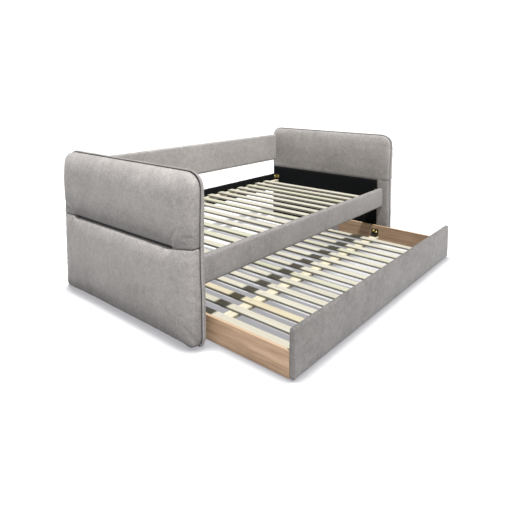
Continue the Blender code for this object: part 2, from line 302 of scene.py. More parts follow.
def wood_material(name, pale, grained, grain_axis, figure=1.0, gloss=0.55, painted_side_shade=1.0):
    """Straight-grained wood whose fibres run along an axis, 0 for X, 1 for Y and 2 for Z.

    The sides and undersides are painted darker than the top by a factor, as painted shade.
    """
    n = Nodes(name)
    along = [1.0, 1.0, 1.0]
    along[grain_axis] = 0.035
    fibres = n.noise(260.0, 4.0, 0.6, vector=n.stretched(along))
    bands = n.noise(38.0, 3.0, 0.5, vector=n.stretched(along), distortion=0.6)
    tone = n.noise(6.0, 1.0, 0.5, vector=n.stretched([a if a == 1.0 else 0.12 for a in along]))
    grain = n.math("ADD", n.math("MULTIPLY", bands, 0.6), n.math("MULTIPLY", fibres, 0.4))
    colour = n.ramp(grain, (0.38, grained), (0.60, pale))
    colour = n.darkened(colour, n.ramp(tone, (0.3, 0.72), (0.7, 1.0)), 0.35 * figure)
    # Painted shade on the sides and undersides.
    if painted_side_shade < 1.0:
        colour = n.shaded(colour, painted_side_shade, painted_side_shade)
    roughness = n.math("ADD", gloss, n.math("MULTIPLY", fibres, 0.15))
    n.bump((fibres, 0.25, 0.0005), (bands, 0.1, 0.0008))
    return n.finish(Base_Color=colour, Roughness=roughness, Specular_IOR_Level=0.35)


def metal_material(name, colour, roughness, metallic=1.0):
    """Plated metal with fine scratches and faint handling marks."""
    n = Nodes(name)
    scratches = n.noise(500.0, 3.0, 0.6, vector=n.stretched((1.0, 0.15, 1.0)))
    n.bump((scratches, 0.15, 0.0002))
    return n.finish(Metallic=metallic, **n.handled(60.0, colour, 0.82, roughness, 0.18))


def plastic_material(name, colour, roughness):
    """Moulded plastic with a fine spark-eroded texture."""
    n = Nodes(name)
    grain = n.noise(700.0, 2.0, 0.5)
    n.bump((grain, 0.3, 0.0002))
    return n.finish(**n.handled(40.0, colour, 0.8, roughness, 0.15))


def floor_material():
    """White studio floor, lit a little from within, with a soft grey shade where things stand close."""
    n = Nodes("floor")
    grain = n.noise(3.0, 2.0, 0.5)
    open_space = n.add("ShaderNodeAmbientOcclusion")
    open_space.samples = 8
    open_space.inputs["Distance"].default_value = CONTACT_REACH
    colour = n.ramp(grain, (0.3, 0.58), (0.7, 0.60))
    colour = n.darkened(colour, n.ramp(open_space.outputs["AO"], (0.56, 0.10), (0.88, 1.0)))
    glow = {"Emission_Color": (0.96, 0.95, 1.0, 1.0), "Emission_Strength": 0.42}
    return n.finish(Base_Color=colour, Roughness=0.9, Specular_IOR_Level=0.1, **glow)


def make_materials():
    pale = (0.385, 0.364, 0.350)
    dark = (0.262, 0.246, 0.235)
    painted_shade_dark = (0.205, 0.192, 0.184)
    oak = ((0.47, 0.325, 0.21), (0.27, 0.165, 0.095))
    slat = {"grain_axis": 1, "painted_side_shade": 0.42}
    # The fabric copies differ by a factor. The back rail's copy is painted lighter as painted light. The
    # trundle front's copy is painted darker, with a darker mottle colour, as painted shade. The plain
    # fabric is set a little darker and the piping a little paler.
    return {
        "fabric": fabric_material("fabric", pale, dark, 0.93),
        "cushion": fabric_material("cushion_fabric", pale, dark, shaded_by=CUSHION_SHADE),
        "fabric_painted_light": fabric_material("fabric_painted_lighter", pale, dark, 1.32),
        "fabric_painted_dark": fabric_material("fabric_painted_darker", pale, painted_shade_dark, 0.72),
        "piping": fabric_material("piping_fabric", pale, dark, 1.06),
        "lining": lining_material(),
        "slat": wood_material("slat_wood", (0.60, 0.575, 0.485), (0.52, 0.49, 0.395), **slat),
        "slat_green": wood_material("slat_wood_green", (0.57, 0.56, 0.44), (0.50, 0.49, 0.36), **slat),
        "slat_warm": wood_material("slat_wood_warm", (0.62, 0.57, 0.42), (0.55, 0.48, 0.33), **slat),
        "rail_wood": wood_material("rail_wood", (0.74, 0.69, 0.54), (0.62, 0.56, 0.40), 0, painted_side_shade=0.55),
        "oak_side": wood_material("oak_side", *oak, 1, 1.0, 0.45),
        "oak_back": wood_material("oak_back", *oak, 0, 1.0, 0.45),
        "oak_edge": wood_material("oak_edge", (0.58, 0.43, 0.30), (0.47, 0.33, 0.21), 1, 0.6, 0.45),
        "steel": metal_material("zinc_steel", (0.62, 0.62, 0.63), 0.32),
        "brass": metal_material("brass_plated", (0.80, 0.66, 0.22), 0.28),
        "black_metal": metal_material("black_metal", (0.015, 0.015, 0.016), 0.45, 0.3),
        "olive_metal": metal_material("olive_metal", (0.16, 0.14, 0.06), 0.45, 0.6),
        "glide": plastic_material("glide_plastic", (0.03, 0.03, 0.03), 0.45),
        "nylon": plastic_material("wheel_nylon", (0.05, 0.05, 0.055), 0.35),
        "tread": plastic_material("wheel_tread", (0.16, 0.16, 0.17), 0.6),
    }


# ---- mesh helpers
def add_mesh(name, shape, materials, smooth=True):
    """An object from a bmesh, which is freed."""
    mesh = bpy.data.meshes.new(name)
    shape.to_mesh(mesh)
    shape.free()
    obj = place_object(name, mesh)
    for material in materials:
        mesh.materials.append(material)
    if smooth:
        mesh.shade_smooth()
    return obj


def box_shape(low, high):
    low, high = Vector(low), Vector(high)
    shape = bmesh.new()
    bmesh.ops.create_cube(shape, size=1.0)
    bmesh.ops.scale(shape, vec=high - low, verts=shape.verts)
    bmesh.ops.translate(shape, vec=(low + high) / 2, verts=shape.verts)
    return shape


def bevel(shape, edges, radius, segments):
    bmesh.ops.bevel(
        shape, geom=edges, offset=radius, segments=segments, affect="EDGES", profile=0.5, clamp_overlap=True
    )


def eased_box(low, high, radius, segments=2):
    """A box with every edge rounded."""
    shape = box_shape(low, high)
    bevel(shape, list(shape.edges), radius, segments)
    return shape


def points_of(mesh, what="co"):
    """Each vertex's place, or its normal, as rows of an array."""
    flat = np.empty(len(mesh.vertices) * 3, np.float32)
    mesh.vertices.foreach_get(what, flat)
    return flat.reshape(-1, 3).astype(float)


def set_points(mesh, points):
    mesh.vertices.foreach_set("co", points.astype(np.float32).ravel())
    mesh.update()


def evaluated_mesh(obj):
    """A new mesh of an object as it stands with its modifiers."""
    graph = bpy.context.evaluated_depsgraph_get()
    return bpy.data.meshes.new_from_object(obj.evaluated_get(graph))


def apply_modifiers(obj):
    made = evaluated_mesh(obj)
    obj.modifiers.clear()
    old = obj.data
    made.name = old.name
    obj.data = made
    bpy.data.meshes.remove(old)


def remesh(obj, voxel, smoothing):
    """Even quads all over, with the corners that fall between them softened."""
    cells = obj.modifiers.new("even cells", "REMESH")
    cells.mode = "VOXEL"
    cells.voxel_size = voxel
    cells.use_smooth_shade = True
    if smoothing:
        soften = obj.modifiers.new("soften", "SMOOTH")
        soften.factor = 0.5
        soften.iterations = smoothing
    apply_modifiers(obj)


def ease(value, start, end):
    """0 before start, 1 after end, smooth in between; for numbers and arrays."""
    share = np.clip((value - start) / (end - start), 0.0, 1.0)
    return share * share * (3 - 2 * share)


def rounding(distance, radius):
    """How far a surface falls away at a distance from the edge of a quarter-round of that radius."""
    share = np.clip(1 - distance / radius, 0.0, 1.0)
    return radius * (1 - np.sqrt(np.maximum(1 - share * share, 0.0)))


def bell(distance, width):
    """1 at no distance, fading to nothing over some two widths either way."""
    return np.exp(-((distance / width) ** 2))


def wobble(points, size, seed):
    """Smooth noise from -1 to 1 at each point, with bumps about that size across."""
    offset = Vector((seed * 17.3, seed * 5.1, seed * 9.7))
    return np.array([noise.noise(Vector(p) / size + offset) for p in points])


CLOTH_FRAMES = 20
CLOTH_PRESSURE = 4.0
CLOTH_SLACK = 0.02
SWELL_EASING = 2.5  # the higher, the less is kept of each move


def simulate(obj, hold):
    """Blows a pad up as cloth, held as far as hold says, 0 to 1. Returns its points before and after."""
    start = points_of(obj.data)
    pins = obj.vertex_groups.new(name="pins")
    for index, weight in enumerate(hold):
        if weight > 0:
            pins.add([index], float(weight), "REPLACE")
    cloth = obj.modifiers.new("cloth", "CLOTH")
    settings = cloth.settings
    settings.use_pressure = True
    settings.uniform_pressure_force = CLOTH_PRESSURE
    settings.shrink_min = -CLOTH_SLACK
    settings.vertex_group_mass = "pins"
    settings.effector_weights.gravity = 0.0
    for step in range(1, CLOTH_FRAMES + 1):
        bpy.context.scene.frame_set(step)
    graph = bpy.context.evaluated_depsgraph_get()
    evaluated = obj.evaluated_get(graph).to_mesh()
    swelled = points_of(evaluated)
    obj.evaluated_get(graph).to_mesh_clear()
    obj.modifiers.clear()
    obj.vertex_groups.clear()
    bpy.context.scene.frame_set(1)
    return start, swelled


def swell(obj, hold, most):
    """Moves a pad's points as the cloth goes, by less and less as they near a furthest distance."""
    start, swelled = simulate(obj, hold)
    moved = swelled - start
    length = np.linalg.norm(moved, axis=1)
    kept = most * np.tanh(length / (SWELL_EASING * most)) / np.maximum(length, 1e-9)
    set_points(obj.data, start + moved * kept[:, None])


def tube(name, points, radius, material):
    """A closed round tube along a list of points, as a mesh."""
    curve = bpy.data.curves.new(name, "CURVE")
    curve.dimensions = "3D"
    curve.bevel_depth = radius
    curve.bevel_resolution = 3
    spline = curve.splines.new("POLY")
    spline.points.add(len(points) - 1)
    spline.use_cyclic_u = True
    for point, place in zip(spline.points, points):
        point.co = (*place, 1.0)
    holder = place_object(name + "_route", curve)
    mesh = evaluated_mesh(holder)
    bpy.data.objects.remove(holder)
    mesh.name = name
    mesh.materials.clear()
    mesh.materials.append(material)
    mesh.shade_smooth()
    return place_object(name, mesh)


def mirrored_copy(obj, name):
    """The same piece at the bed's other end."""
    mesh = obj.data.copy()
    mesh.name = name
    mesh.transform(Matrix.Scale(-1, 4, (1, 0, 0)))
    mesh.flip_normals()
    return place_object(name, mesh)


def settle(obj, body, slot, *nodes, fill=None):
    """Rides a piece on its body and has it stand for CAD nodes; its slot is not used."""
    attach(obj, body)
    if nodes:
        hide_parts(*nodes)


# ---- arms
FIRST_VOXEL = 0.008  # of an outer cushion while its faces are still flat
PAD_VOXEL = 0.006
TOP_CORNER = 0.072
BOTTOM_CORNER = 0.040
RIM_RADIUS = 0.007  # of the pads' edges beside the piping
OUTER_ROLL = (0.034, 0.013)  # how far in from the rim the outer face rolls over, and how deep
OUTER_TOP_ROLL = (0.084, 0.036)
INNER_ROLL = (0.034, 0.010)  # the same for the arm's inner face
INNER_TOP_ROLL = (0.066, 0.020)
TOP_ROLL_START = 0.17  # below the arm's top, where the roll begins to grow
TOP_ROLL_END = 0.04
SWELL_ROOM = 0.004  # kept inside the outer cushions' boxes for their swelling
PAD_SWELL = 0.012
UNEVEN = 0.0012  # height of the faint unevenness of the padding

CREASE_START = 0.129  # behind the arm's front, where the open crease begins
CREASE_END = 0.092  # ahead of the arm's back, where it ends
CREASE_FADE_OUT = 0.010  # outside and inside its ends, over which it closes
CREASE_FADE_IN = 0.030
CREASE_DEPTH = 0.034
CREASE_DROOP = 0.007  # of the middle of the open crease below its closed ends
UPPER_LIP = 0.062  # height over which the upper cushion turns in at the crease
LOWER_LIP = 0.026
SEAM_ROLL = (0.007, 0.003)  # how far the cushions turn in at the closed seam, and how deep
SEAM_RISE = 0.0182  # of the closed seam at the arm's front edge
SEAM_GAP = 0.0003  # between each cushion and the seam
SEAM_BAND = 0.012  # beside the seam, and beside the piping, where the cover is held
HELD_DEPTH = 0.014  # inside the crease, below which the cover is held
DROOP_REACH = 0.070
PUCKER_DEPTH = 0.0028
PUCKER_REACH = 0.060

FLOOR_GAP = 0.006  # under the sagging padding, which hides the glides
SAG_TOP = 0.11  # above the arm's bottom, where the sag begins
EDGE_BULGE = 0.011  # of the arm's front and back edges, less at mid height
LINING_MARGIN = 0.003  # round the lining, in the recess for it
INNER_CROWN = 0.004
SEAM_LINE_WIDTH = 0.005  # of the seam across the front strip of the inner face
SEAM_LINE_DEPTH = 0.0030

# Painted shade and highlight, stored on each padded piece for the cushion fabric.
CUSHION_SHADE = "cushion_shade"
UPPER_PAINTED_SHADE = (0.72, 0.32, 0.52)  # painted shade and highlight: how pale at the bottom, and what the middle and the top add
LOWER_PAINTED_SHADE = (0.78, 0.30, 0.30)
INNER_PAINTED_SHADE = (1.05, 0.32)  # the same for the inner pad, whose top adds the second
FRONT_TO_BACK = (0.87, 0.10)  # painted light and shade: a factor at mid arm, and what each end gains or loses
GROOVE_WIDTH = 0.009
GROOVE_DARK = 0.60  # share by which a place is darkened as painted shade
# Painted shade in the open crease, the closed seam's fold and the pressed seam line.
CREASE_DARK = 0.93
FOLD_WIDTH = 0.006
FOLD_DARK = 0.16
SEAM_LINE_DARK = 0.30


def arm_box():
    """The right arm's whole box, from its cushions and its panel."""
    panel_low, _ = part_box("arm_right_panel")
    cushion_low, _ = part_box("arm_right_lower_cushion")
    _, cushion_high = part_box("arm_right_upper_cushion")
    return Vector((panel_low.x, panel_low.y, cushion_low.z)), cushion_high


ARM_LOW, ARM_HIGH = arm_box()


def outline_box(low, high, top_corner, bottom_corner):
    """A box whose lengthwise edges are rounded by one radius above and another below."""
    shape = box_shape(low, high)
    middle = (low.z + high.z) / 2
    for above, radius in ((True, top_corner), (False, bottom_corner)):
        if radius:
            corners = [
                edge
                for edge in shape.edges
                if (edge.verts[0].co - edge.verts[1].co).yz.length < 1e-5
                and (edge.verts[0].co.z > middle) == above
            ]
            bevel(shape, corners, radius, 8)
    return shape


def rim_distance(y, z):
    """How far inside the arm's rounded outline in the YZ plane each point lies."""
    middle = (ARM_LOW + ARM_HIGH) / 2
    half = (ARM_HIGH - ARM_LOW) / 2
    radius = np.where(z > middle.z, TOP_CORNER, BOTTOM_CORNER)
    across = np.abs(y - middle.y) - half.y + radius
    up = np.abs(z - middle.z) - half.z + radius
    corner = np.hypot(np.maximum(across, 0.0), np.maximum(up, 0.0))
    return radius - np.minimum(np.maximum(across, up), 0.0) - corner


def roll_over(distance, roll):
    """How far a face has fallen away at a distance from its rim: a quarter of an ellipse."""
    width, depth = roll
    return rounding(distance, width) * depth / width


def sideways(y):
    """Where along the arm each point is, from -1 at its front edge to 1 at its back edge."""
    return (y - (ARM_LOW.y + ARM_HIGH.y) / 2) / ((ARM_HIGH.y - ARM_LOW.y) / 2)


def arm_roll(y, z, roll, top_roll):
    """The roll at each point: one size along the sides and bottom, a larger one along the top."""
    top = ease(z, ARM_HIGH.z - TOP_ROLL_START, ARM_HIGH.z - TOP_ROLL_END)
    top = top * (1 - 0.5 * ease(np.abs(sideways(y)), 0.75, 0.97))
    return tuple(size + (top_size - size) * top for size, top_size in zip(roll, top_roll))


def crease_share(y):
    """1 along the open crease, 0 where it has closed to a seam near the arm's front and back."""
    start, end = ARM_LOW.y + CREASE_START, ARM_HIGH.y - CREASE_END
    opening = ease(y, start - CREASE_FADE_OUT, start + CREASE_FADE_IN)
    return opening * (1 - ease(y, end - CREASE_FADE_IN, end + CREASE_FADE_OUT))


def arm_cushion(level, material):
    """The right arm's upper or lower outer cushion, before it is settled."""
    low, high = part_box(f"arm_right_{level}_cushion")
    upper = level == "upper"
    outer = high.x - SWELL_ROOM
    seam = low.z if upper else high.z
    corners = (TOP_CORNER, 0.0) if upper else (0.0, BOTTOM_CORNER)
    shape = outline_box(low, Vector((outer, high.y, high.z)), *corners)
    pad = add_mesh(f"arm_right_{level}_pad", shape, [material])
    remesh(pad, FIRST_VOXEL, 0)

    points = points_of(pad.data)
    x, y, z = points.T
    from_rim = rim_distance(y, z)
    past = np.abs(z - seam)
    share = crease_share(y)
    limit = outer - roll_over(from_rim, arm_roll(y, z, OUTER_ROLL, OUTER_TOP_ROLL))
    limit -= roll_over(past, (UPPER_LIP if upper else LOWER_LIP, CREASE_DEPTH)) * share
    limit -= roll_over(past, SEAM_ROLL) * (1 - share)
    x[:] = np.minimum(x, np.maximum(limit, low.x + SEAM_BAND))
    x[:] = np.maximum(x, low.x + rounding(from_rim, RIM_RADIUS))
    set_points(pad.data, points)
    remesh(pad, PAD_VOXEL, 3)

    x, y, z = points_of(pad.data).T
    at_seam = np.abs(z - seam) < SEAM_BAND
    closed = (crease_share(y) < 0.5) | (x < outer - HELD_DEPTH)
    swell(pad, np.where((x < low.x + SEAM_BAND) | (at_seam & closed), 1.0, 0.0), PAD_SWELL)

    points = points_of(pad.data)
    x, y, z = points.T
    x += pucker(points, seam, upper)
    z[:] = np.maximum(z, seam + SEAM_GAP) if upper else np.minimum(z, seam - SEAM_GAP)
    # Painted shade and highlight for this cushion, and painted shade in the piping groove.
    shade = cushion_shade(points, seam, upper, outer) * groove_shade(x - low.x)
    z += droop(y, z, seam)
    slump(points)
    set_points(pad.data, points)
    store_shade(pad, shade)
    return pad


def groove_shade(from_seam):
    """Painted shade in the grooves beside the piping."""
    return 1 - GROOVE_DARK * bell(from_seam, GROOVE_WIDTH)


def store_shade(pad, shade):
    """Keeps the painted shade and highlight at each point, for the cushion fabric to use."""
    stored = pad.data.attributes.new(CUSHION_SHADE, "FLOAT", "POINT")
    stored.data.foreach_set("value", shade)


def cushion_shade(points, seam, upper, outer):
    """Painted shade and highlight: paler along the tops, darker lower down, and dark in the crease and
    folds.
    """
    x, y, z = points.T
    share = crease_share(y)
    if upper:
        base, middle, top = UPPER_PAINTED_SHADE
        up = (z - seam) / (ARM_HIGH.z - seam)
        shade = base + middle * ease(up, 0.0, 0.50) + top * ease(up, 0.66, 1.0)
    else:
        base, middle, top = LOWER_PAINTED_SHADE
        up = (z - ARM_LOW.z) / (seam - ARM_LOW.z)
        shade = base + middle * ease(up, 0.0, 0.60) + top * ease(up, 0.80, 0.97) * (0.5 + 0.5 * share)
    level, change = FRONT_TO_BACK
    shade = shade * (level - change * sideways(y))
    past = np.abs(z - seam)
    in_lip = past < (UPPER_LIP if upper else LOWER_LIP)
    # Painted shade in the open crease and in the closed seam's fold.
    sunk = np.clip((outer - x) / CREASE_DEPTH, 0.0, 1.0) * share * in_lip
    fold = bell(past, FOLD_WIDTH) * (1 - share)
    return shade * (1 - CREASE_DARK * ease(sunk, 0.25, 0.75)) * (1 - FOLD_DARK * fold)


def slump(points):
    """Lets an arm's padding hang down to the floor and bulge out past its front and back edges."""
    _, y, z = points.T
    lower = 1 - ease(z, ARM_LOW.z + 0.002, ARM_LOW.z + SAG_TOP)
    height = (z - ARM_LOW.z) / (ARM_HIGH.z - ARM_LOW.z)
    middle = ease(height, 0.25, 0.45) * (1 - ease(height, 0.60, 0.92))
    side = sideways(y)
    edge = np.sign(side) * ease(np.abs(side), 0.86, 0.99)
    y += EDGE_BULGE * edge * (1 - 0.6 * middle)
    z -= (ARM_LOW.z - FLOOR_GAP) * lower


def droop(y, z, seam):
    """How the open crease sags and the closed seam rises in front of it. Both cushions move alike."""
    front = 1 - ease(y, ARM_LOW.y, ARM_LOW.y + CREASE_START)
    return bell(z - seam, DROOP_REACH) * (CREASE_DROOP * (0.5 - crease_share(y)) + SEAM_RISE * front)


def pucker(points, seam, upper):
    """Shallow pulls in the cover that fan out from the crease's two ends, and a faint unevenness."""
    x, y, z = points.T
    outward = np.clip((x - ARM_LOW.x - 0.050) / 0.030, 0.0, 1.0)
    moves = np.zeros_like(x)
    ends = ((ARM_LOW.y + CREASE_START, -1, 1.0), (ARM_HIGH.y - CREASE_END, 1, 1.6))
    for end, direction, strength in ends:
        across = (y - end) * direction
        up = z - seam
        reach = np.hypot(across, up)
        folds = np.cos(np.arctan2(np.abs(up), across) * 5.0 + 0.8)
        fade = np.exp(-reach / PUCKER_REACH) * ease(reach, 0.004, 0.030)
        moves += PUCKER_DEPTH * strength * folds * fade * outward
    return moves + UNEVEN * wobble(points, 0.16, 3.0 if upper else 4.0) * outward


PIPING_RADIUS = 0.0052
PIPING_PROUD = 0.0028  # of its middle, outside the arm's outline
PIPING_STEP = 0.008
PIPING_INSET = 0.0025  # of its middle, from the outer cushions towards the inner pad


def arm_outline(out, step):
    """Points round the arm at a distance outside its outline in the YZ plane, evenly spaced."""
    low_y, high_y = ARM_LOW.y - out, ARM_HIGH.y + out
    low_z, high_z = ARM_LOW.z - out, ARM_HIGH.z + out
    top, bottom = TOP_CORNER, BOTTOM_CORNER
    corners = (
        (low_y + bottom, low_z + bottom, bottom, 180, 270),
        (high_y - bottom, low_z + bottom, bottom, 270, 360),
        (high_y - top, high_z - top, top, 0, 90),
        (low_y + top, high_z - top, top, 90, 180),
    )
    rough = []
    for centre_y, centre_z, radius, start, end in corners:
        for turn in range(start, end + 1, 10):
            angle = math.radians(turn)
            rough.append((centre_y + radius * math.cos(angle), centre_z + radius * math.sin(angle)))
    rough.append(rough[0])
    rough = np.array(rough)
    lengths = np.concatenate([[0], np.cumsum(np.linalg.norm(np.diff(rough, axis=0), axis=1))])
    at = np.linspace(0, lengths[-1], int(lengths[-1] / step), endpoint=False)
    y, z = (np.interp(at, lengths, rough[:, k]) for k in range(2))
    return np.stack([np.zeros_like(y), y, z], axis=1)


def arm_piping(material):
    """The piping sewn round the right arm, in the seam between its cushions and its inner pad."""
    cushion_low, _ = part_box("arm_right_lower_cushion")
    points = arm_outline(PIPING_PROUD, PIPING_STEP)
    slump(points)
    route = []
    for _, y, z in points:
        sway = noise.noise(Vector((y * 9, z * 9, 2.0)))
        rise = noise.noise(Vector((y * 11, z * 11, 5.0)))
        z = max(z + 0.0008 * rise, PIPING_RADIUS + 0.0008)
        route.append((cushion_low.x - PIPING_INSET + 0.0014 * sway, y, z))
    return tube("arm_right_piping", route, PIPING_RADIUS, material)


def press_seam_line(points, low, high, lining_low):
    """Presses the seam into the inner pad's front strip, and says how near to it each point lies."""
    _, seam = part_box("arm_right_lower_cushion")
    x, y, z = points.T
    line = bell(z - (seam.z + CREASE_DROOP / 2 + SEAM_RISE), SEAM_LINE_WIDTH)
    line = line * (1 - ease(y, lining_low.y - 0.04, lining_low.y - 0.01))
    x += SEAM_LINE_DEPTH * line * (x < (low.x + high.x) / 2)
    y += SEAM_LINE_DEPTH * line * (y < low.y + 0.012)
    return line


def arm_inner_pad(material):
    """The right arm's padded inner half, cut back where the black lining lies."""
    low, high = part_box("arm_right_panel")
    lining_low, lining_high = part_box("arm_right_lining")
    shape = outline_box(low, high, TOP_CORNER, BOTTOM_CORNER)
    pad = add_mesh("arm_right_inner_pad", shape, [material])
    remesh(pad, PAD_VOXEL, 0)

    points = points_of(pad.data)
    x, y, z = points.T
    from_rim = rim_distance(y, z)
    behind = y - (lining_low.y - LINING_MARGIN)
    inside = np.minimum(behind, (lining_high.z + LINING_MARGIN) - z)
    recess = (lining_high.x + 0.0006 - low.x) * ease(inside, -0.005, 0.003)
    rim = roll_over(from_rim, arm_roll(y, z, INNER_ROLL, INNER_TOP_ROLL))
    rim = rim * (1 - ease(inside, 0.0, 0.02))
    crown = INNER_CROWN * ease(from_rim, 0.0, 0.14) * ease(-inside, 0.0, 0.09)
    face = ease(low.x + 0.022 - x, 0.0, 0.018)
    x[:] = np.maximum(x, low.x + np.maximum(rim, recess))
    x -= crown * face
    x += UNEVEN * wobble(points, 0.13, 7.0) * face * ease(-inside, 0.0, 0.05)
    x[:] = np.minimum(x, high.x - rounding(from_rim, RIM_RADIUS))
    set_points(pad.data, points)
    remesh(pad, PAD_VOXEL, 2)

    points = points_of(pad.data)
    x, y, z = points.T
    # Painted highlight towards the top, and painted shade in the piping groove and along the seam line.
    base, top = INNER_PAINTED_SHADE
    shade = (base + top * ease(z, high.z - 0.24, high.z - 0.04)) * groove_shade(high.x - x)
    shade *= 1 - SEAM_LINE_DARK * press_seam_line(points, low, high, lining_low)
    slump(points)
    set_points(pad.data, points)
    store_shade(pad, shade)
    return pad


LINING_THICKNESS = 0.0010
LINING_OFF = 0.0018  # from the face it covers to its own middle
LINING_RIPPLE = 0.0014


def arm_lining(material):
    """The right arm's black lining: thin cloth stapled over the frame, not quite flat."""
    low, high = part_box("arm_right_lining")
    shape = bmesh.new()
    grid = bmesh.ops.create_grid(shape, x_segments=60, y_segments=30, size=0.5)
    for vert in grid["verts"]:
        across, up = vert.co.x + 0.5, vert.co.y + 0.5
        y = low.y + 0.001 + across * (high.y - low.y - 0.002)
        z = low.z + 0.001 + up * (high.z - low.z - 0.002)
        edge = min(across, 1 - across, up * 0.5, (1 - up) * 0.5)
        ripple = LINING_RIPPLE * noise.noise(Vector((y * 7, z * 3, 1.0))) * min(1.0, edge * 12)
        vert.co = (low.x + LINING_OFF + ripple, y, z)
    lining = add_mesh("arm_right_lining_cloth", shape, [material])
    thick = lining.modifiers.new("cloth", "SOLIDIFY")
    thick.thickness = LINING_THICKNESS
    thick.offset = 0.0
    apply_modifiers(lining)
    return lining


def add_arms(m):
    right = [
        (arm_cushion("upper", m["cushion"]), "upper_pad", ["upper_cushion"], "fabric", 0.7),
        (arm_cushion("lower", m["cushion"]), "lower_pad", ["lower_cushion"], "fabric", 0.7),
        (arm_inner_pad(m["cushion"]), "inner_pad", ["panel"], "fabric", 0.5),
        (arm_piping(m["piping"]), "piping", [], "fabric", None),
        (arm_lining(m["lining"]), "lining_cloth", ["lining"], "black_lining", None),
    ]
    for piece, name, nodes, slot, fill in right:
        copy = mirrored_copy(piece, f"arm_left_{name}")
        for label, obj in (("right", piece), ("left", copy)):
            settle(obj, "bed", slot, *[f"arm_{label}_{n}" for n in nodes], fill=fill)


# ---- covered boards
PULL_HEIGHT = 0.0010  # of the small pulls along the cover's upper and lower edges
WAVE_HEIGHT = 0.0012
CROWN_HEIGHT = 0.0018
UPPER_LEDGE = 0.030  # width and height of the ledges under the upper slats
LEDGE_SHORTER = 0.002
LEDGE_GAP = 0.0005  # between a ledge and its rail
UNDER_SLATS = 0.0003
TIMBER_EASE = 0.002


def covered_board(name, low, high, radius, voxel, seed, material, ends=False):
    """A board in thin foam and fabric: soft edges, and a cover that is pulled unevenly over them.

    The edges at its two ends are soft as well where ends is true.
    """
    low, high = Vector(low), Vector(high)
    shape = box_shape(low, high)
    along = [e for e in shape.edges if ends or abs(e.verts[0].co.x - e.verts[1].co.x) > 0.1]
    bevel(shape, along, radius, 4)
    board = add_mesh(name, shape, [material])
    remesh(board, voxel, 2)
    points = points_of(board.data)
    outward = points_of(board.data, "normal")
    middle = (low + high) / 2
    half = (high - low) / 2
    from_middle = np.abs(points - np.array(middle)) / np.array(half)
    edge = ease(from_middle[:, 2], 0.72, 1.0)
    pulls = wobble(points * np.array((1.0, 0.3, 0.3)), 0.045, seed) * edge * PULL_HEIGHT
    waves = wobble(points, 0.20, seed + 1.0) * WAVE_HEIGHT
    crown = (1 - from_middle[:, 2] ** 2) * CROWN_HEIGHT
    facing = np.abs(outward[:, 1])
    stay = 1.0 if ends else ease(high.x - np.abs(points[:, 0] - middle.x) - middle.x, 0.0, 0.01)
    points += outward * ((pulls + waves * facing + crown * facing) * stay)[:, None]
    set_points(board.data, points)
    return board


def add_timber(name, low, high, body, m, *nodes):
    """A plain sawn timber with eased edges."""
    timber = add_mesh(name, eased_box(low, high, TIMBER_EASE), [m["rail_wood"]], smooth=False)
    settle(timber, body, "slat_wood", *nodes)


def add_rails(m):
    ledge_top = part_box("upper_slat_01")[0].z - UNDER_SLATS
    ledge_bottom = ledge_top - UPPER_LEDGE

    low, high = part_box("front_rail")
    back = high.y - UPPER_LEDGE
    rail_high = (high.x, back, high.z)
    rail = covered_board("front_rail_cover", low, rail_high, 0.010, 0.005, 11.0, m["fabric"])
    settle(rail, "bed", "fabric", "front_rail", fill=0.3)
    ledge_low = (low.x + LEDGE_SHORTER, back + LEDGE_GAP, ledge_bottom)
    add_timber("front_rail_ledge", ledge_low, (high.x - LEDGE_SHORTER, high.y, ledge_top), "bed", m)

    low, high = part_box("lower_back_rail")
    front = low.y + UPPER_LEDGE
    rail_low = (low.x, front, low.z)
    rail = covered_board("lower_back_rail_cover", rail_low, high, 0.004, 0.005, 13.0, m["lining"])
    settle(rail, "bed", "black_board", "lower_back_rail", fill=0.1)
    ledge_low = (low.x + LEDGE_SHORTER, low.y, ledge_bottom)
    ledge_high = (high.x - LEDGE_SHORTER, front - LEDGE_GAP, ledge_top)
    add_timber("lower_back_rail_ledge", ledge_low, ledge_high, "bed", m)

    low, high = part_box("back_rail")
    # The back rail's cover uses the fabric copy that is painted lighter, as painted light.
    rail = covered_board("back_rail_cover", low, high, 0.012, 0.006, 15.0, m["fabric_painted_light"])
    settle(rail, "bed", "fabric", "back_rail", fill=0.4)


# ---- slats
WARM_SLATS = (("trundle", 3),)
GREEN_SLATS = (("upper", 3), ("upper", 4), ("upper", 8), ("upper", 13), ("trundle", 7), ("trundle", 12))
DECKS = (("upper", "bed", 40.0), ("trundle", "trundle", 80.0))  # name, body and a seed
SLAT_BOW = 0.0012
SLAT_SWAY = 0.0016
SLAT_TWIST = 0.02
SCREW_RADIUS = 0.0035
SCREW_INSET = 0.012  # from the slat's end


def slat_board(name, low, high, seed, material):
    """One sawn slat: eased edges, a slight bow and twist along its length."""
    shape = eased_box(low, high, 0.0018)
    across = [e for e in shape.edges if abs(e.verts[0].co.y - e.verts[1].co.y) > 0.5]
    bmesh.ops.subdivide_edges(shape, edges=across, cuts=24, use_grid_fill=True)
    middle = (low + high) / 2
    for vert in shape.verts:
        share = (vert.co.y - middle.y) / (high.y - low.y) * 2
        arch = 1 - share * share
        bow = SLAT_BOW * noise.noise(Vector((seed, 0.3, 0.7))) * arch
        sway = SLAT_SWAY * noise.noise(Vector((seed, share * 0.8, 4.2)))
        twist = SLAT_TWIST * noise.noise(Vector((seed, 7.7, 0.1))) * share * arch * 2
        vert.co.z += bow + twist * (vert.co.x - middle.x)
        vert.co.x += sway
    return add_mesh(name, shape, [material], smooth=False)


